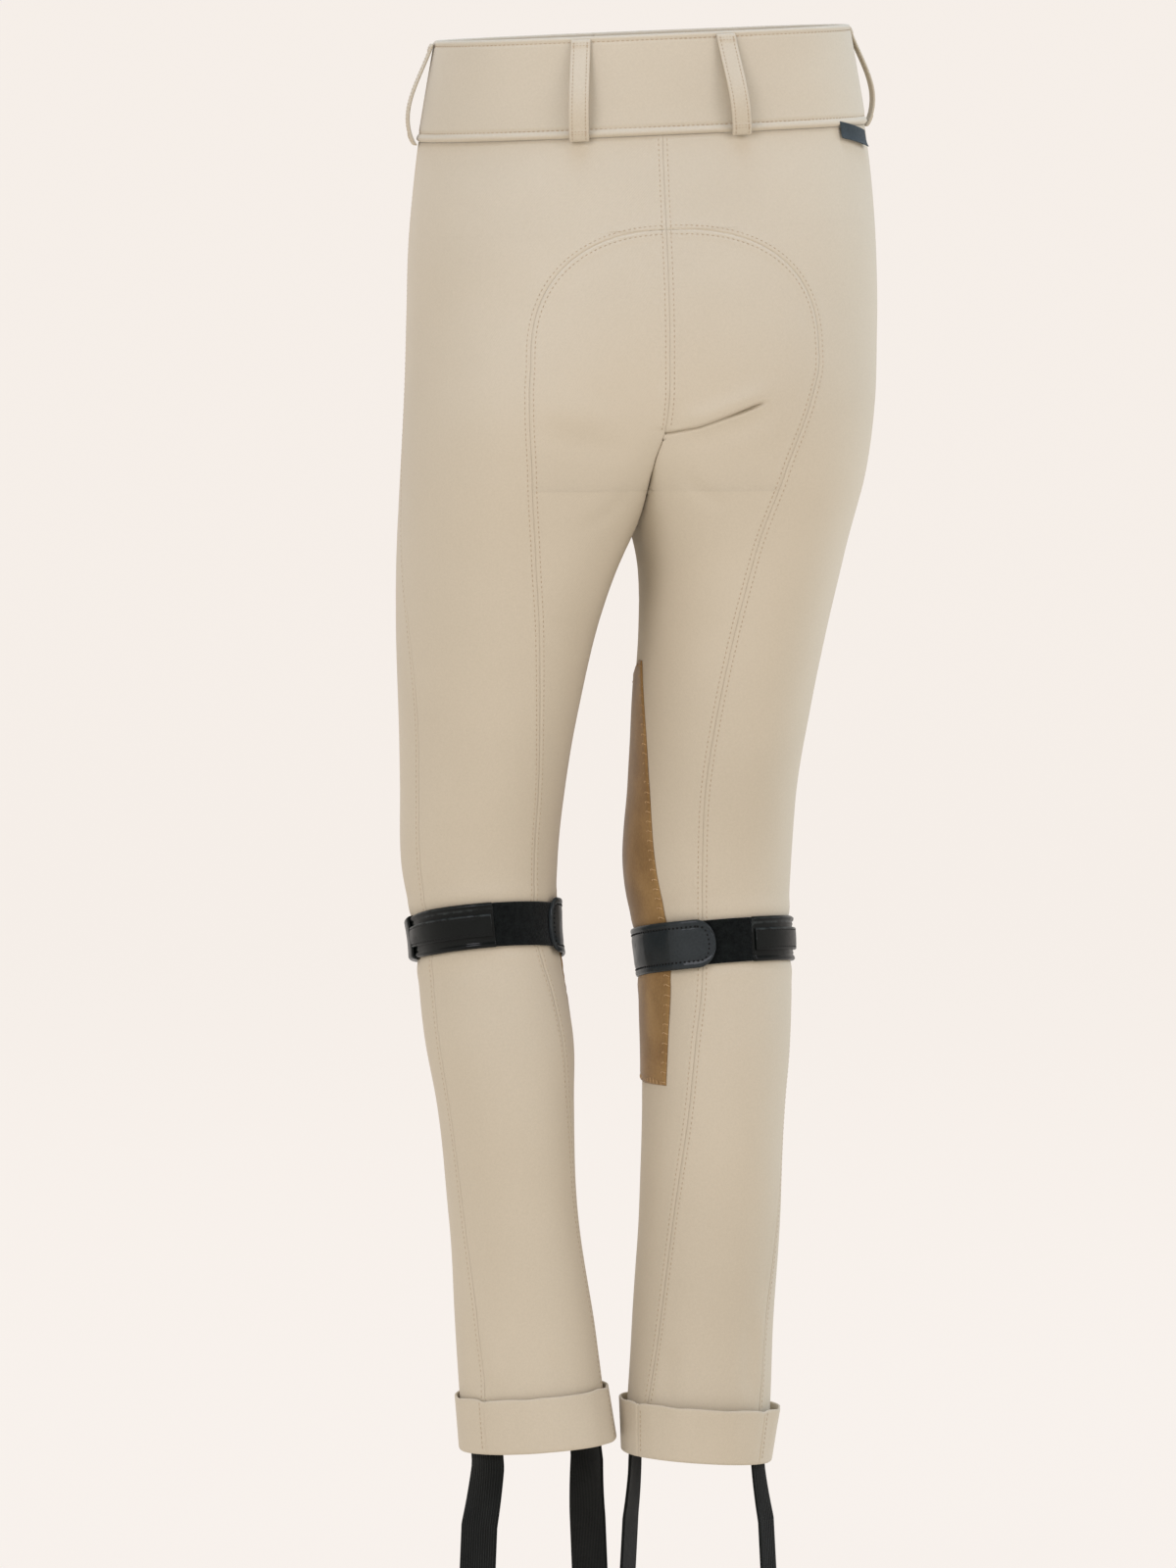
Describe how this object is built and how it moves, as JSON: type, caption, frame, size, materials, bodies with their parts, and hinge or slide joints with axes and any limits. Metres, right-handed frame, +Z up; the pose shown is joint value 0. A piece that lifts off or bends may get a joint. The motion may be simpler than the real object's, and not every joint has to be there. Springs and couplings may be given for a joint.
{
  "type": "jodhpurs",
  "caption": "Child's long riding jodhpurs in their hollow worn shape, with suede inner-knee patches, turned-up cuffs, garters and elastic foot straps",
  "frame": {"origin": "on the waist's axis, midway between the front and the back, at half the height of the waistband", "axes": "+Z up along the body, -Y to the front, +X to the wearer's left"},
  "size_m": [0.2703, 0.2007, 0.8946],
  "materials": {
    "cloth": "matte stretch cotton twill, beige",
    "suede": "brown suede, short nap",
    "garter_leather": "black leather, satin",
    "pile": "black loop pile",
    "elastic": "black woven elastic",
    "label": "dark woven label, blank",
    "button": "beige four-hole button"
  },
  "bodies": {
    "root": {"waistband": "cloth", "waist_button": "button", "fly": "cloth", "label": "label", "front_left": "cloth", "front_right": "cloth", "back_left": "cloth", "back_right": "cloth", "seat_left": "cloth", "seat_right": "cloth", "knee_patch_left": "suede", "knee_patch_right": "suede", "cuff_left": "cloth", "cuff_right": "cloth", "foot_strap_left": "elastic", "foot_strap_right": "elastic", "garter_band_left": "garter_leather", "garter_band_right": "garter_leather", "garter_strap_left": "garter_leather", "garter_strap_right": "garter_leather", "garter_keeper_left": "garter_leather", "garter_keeper_right": "garter_leather", "garter_pile_left": "pile", "garter_pile_right": "pile", "garter_tab_left": "garter_leather", "garter_tab_right": "garter_leather", "belt_loop_back_left": "cloth", "belt_loop_back_right": "cloth", "belt_loop_side_left": "cloth", "belt_loop_side_right": "cloth", "belt_loop_front_left": "cloth", "belt_loop_front_right": "cloth"}
  },
  "joints": []
}
